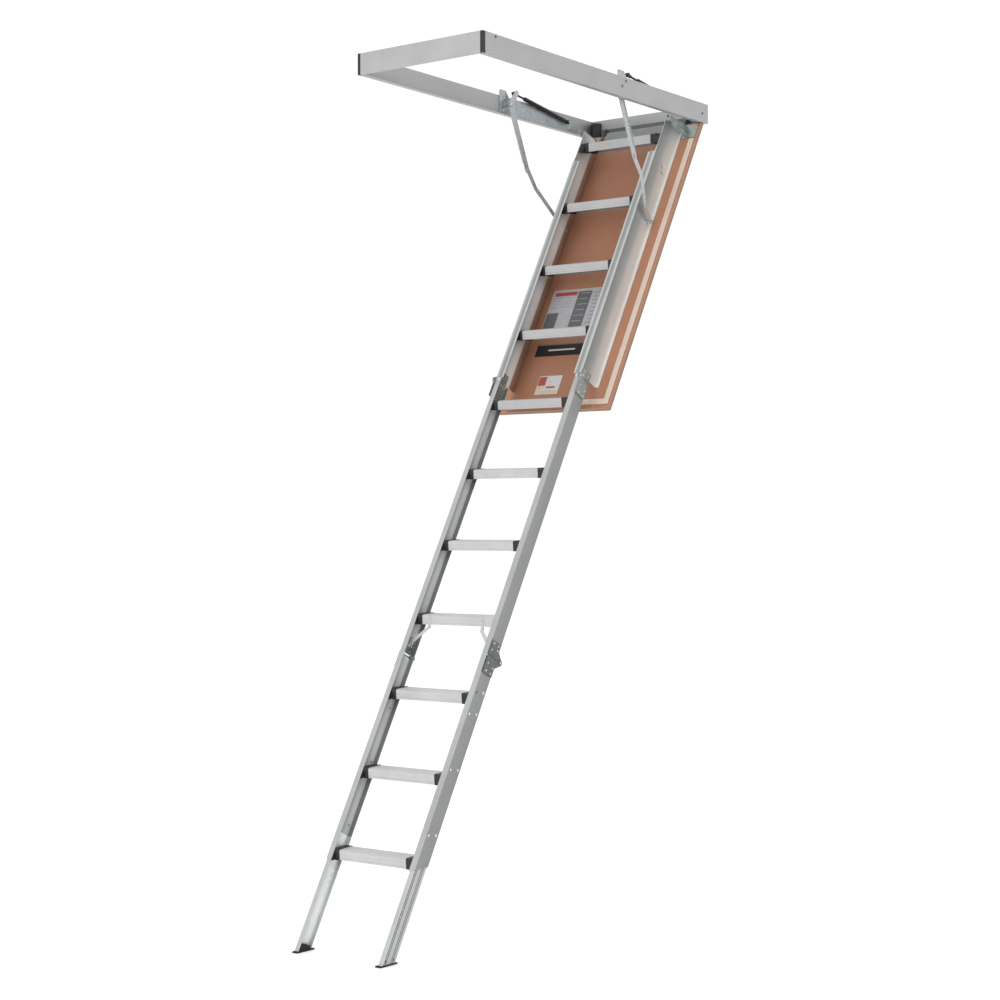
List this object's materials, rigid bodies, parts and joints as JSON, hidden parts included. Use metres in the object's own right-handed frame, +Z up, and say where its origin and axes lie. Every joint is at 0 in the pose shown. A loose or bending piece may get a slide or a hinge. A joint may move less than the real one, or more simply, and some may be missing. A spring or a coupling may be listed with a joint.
{
  "type": "attic ladder",
  "caption": "Folding attic ladder hanging from a hatch frame: hinged panel door with the top ladder section on it, two fold-out sections with treads, adjustable legs, arms and gas struts.",
  "frame": {"origin": "middle of the hinge end's outer face, at mid height of the hatch frame", "axes": "+X out of the hinge end, away from the hatch; +Y to the left of someone climbing; +Z up"},
  "size_m": [1.7654, 0.55, 3.013],
  "materials": {
    "frame_aluminium": "satin mill",
    "stile_aluminium": "extruded, brushed along its length",
    "tread_aluminium": "ribbed extrusion",
    "galvanised_steel": "galvanised, faint spangle",
    "hinge_steel": "dark zinc",
    "zinc_steel": "bright zinc",
    "black_plastic": "moulded",
    "strut_black": "satin black",
    "shoe_rubber": "matte",
    "hardboard": "smooth tempered hardboard",
    "board_core": "raw edge",
    "cream_foam": "soft weather strip"
  },
  "bodies": {
    "frame": {"frame_side_left": "frame_aluminium", "frame_side_right": "frame_aluminium", "frame_front_end": "frame_aluminium", "frame_hinge_end": "frame_aluminium", "frame_corner_seal_left": "black_plastic", "frame_corner_seal_right": "black_plastic", "hinge_corner_block_left": "black_plastic", "hinge_corner_block_right": "black_plastic", "hinge_strap": "hinge_steel", "arm_bracket_left": "galvanised_steel", "arm_bracket_right": "galvanised_steel"},
    "door": {"door_face": "hardboard", "door_core": "board_core", "door_back": "hardboard", "door_gasket": "cream_foam", "hinge_bracket_left": "galvanised_steel", "hinge_bracket_right": "galvanised_steel", "upper_stile_left": "stile_aluminium", "upper_stile_right": "stile_aluminium", "tread_1": "tread_aluminium", "tread_2": "tread_aluminium", "tread_3": "tread_aluminium", "tread_4": "tread_aluminium", "upper_hinge_leaf_left": "hinge_steel", "upper_hinge_leaf_right": "hinge_steel", "link_bolt_left": "zinc_steel", "link_bolt_right": "zinc_steel"},
    "middle_section": {"middle_stile_left": "stile_aluminium", "middle_stile_right": "stile_aluminium", "tread_5": "tread_aluminium", "tread_6": "tread_aluminium", "tread_7": "tread_aluminium", "tread_8": "tread_aluminium", "tread_brace_left": "stile_aluminium", "tread_brace_right": "stile_aluminium", "middle_top_leaf_left": "hinge_steel", "middle_top_leaf_right": "hinge_steel", "middle_foot_leaf_left": "hinge_steel", "middle_foot_leaf_right": "hinge_steel"},
    "lower_section": {"lower_stile_left": "stile_aluminium", "lower_stile_right": "stile_aluminium", "tread_9": "tread_aluminium", "tread_10": "tread_aluminium", "tread_11": "tread_aluminium", "lower_hinge_leaf_left": "hinge_steel", "lower_hinge_leaf_right": "hinge_steel"},
    "leg_left": {"leg_left": "stile_aluminium", "shoe_left": "shoe_rubber"},
    "leg_right": {"leg_right": "stile_aluminium", "shoe_right": "shoe_rubber"},
    "upper_arms": {"upper_arm_left": "galvanised_steel", "upper_arm_right": "galvanised_steel"},
    "lower_links": {"lower_link_left": "zinc_steel", "lower_link_right": "zinc_steel"},
    "gas_cylinders": {"gas_cylinder_left": "strut_black", "gas_cylinder_right": "strut_black"},
    "gas_rods": {"gas_rod_left": "strut_black", "gas_rod_right": "strut_black"}
  },
  "joints": [
    {"name": "door_hinge", "type": "hinge", "parent": "frame", "child": "door", "pos_m": [-0.03777, 0, -0.0505], "axis": [0, 1, 0], "range_deg": [0, 56.3]},
    {"name": "section_fold", "type": "hinge", "parent": "door", "child": "middle_section", "pos_m": [-0.7212, 0, -1.04019], "axis": [0, 1, 0], "range_deg": [0, 180]},
    {"name": "lower_fold", "type": "hinge", "parent": "middle_section", "child": "lower_section", "pos_m": [-1.17631, 0, -2.03597], "axis": [0, -1, 0], "range_deg": [0, 180]},
    {"name": "leg_slide_left", "type": "slide", "parent": "lower_section", "child": "leg_left", "axis": [0.4802, 0, 0.8771], "range_m": [0, 0.24]},
    {"name": "leg_slide_right", "type": "slide", "parent": "lower_section", "child": "leg_right", "axis": [0.4802, 0, 0.8771], "range_m": [0, 0.24]},
    {"name": "arm_swing", "type": "hinge", "parent": "frame", "child": "upper_arms", "pos_m": [-0.557, 0, 0.0035], "axis": [0, -1, 0], "range_deg": [0, 113.42]},
    {"name": "strut_swing", "type": "hinge", "parent": "frame", "child": "gas_cylinders", "pos_m": [-0.18, 0, 0.0045], "axis": [0, -1, 0], "range_deg": [0, 6.5]},
    {"name": "strut_stroke", "type": "slide", "parent": "gas_cylinders", "child": "gas_rods", "axis": [-0.9898, 0, 0.1426], "range_m": [0, 0.0948]},
    {"name": "link_swing", "type": "hinge", "parent": "door", "child": "lower_links", "pos_m": [-0.29, 0, -0.4415], "axis": [0, 1, 0], "range_deg": [0, 6.89]}
  ],
  "couplings": [
    {"joint": "lower_fold", "follows": "section_fold", "ratio": 1},
    {"joint": "arm_swing", "follows": "door_hinge", "ratio": 2.0143},
    {"joint": "strut_swing", "follows": "door_hinge", "ratio": 0.11522},
    {"joint": "strut_stroke", "follows": "door_hinge", "m_per_rad": 0.095934},
    {"joint": "link_swing", "follows": "door_hinge", "ratio": 0.12218}
  ]
}
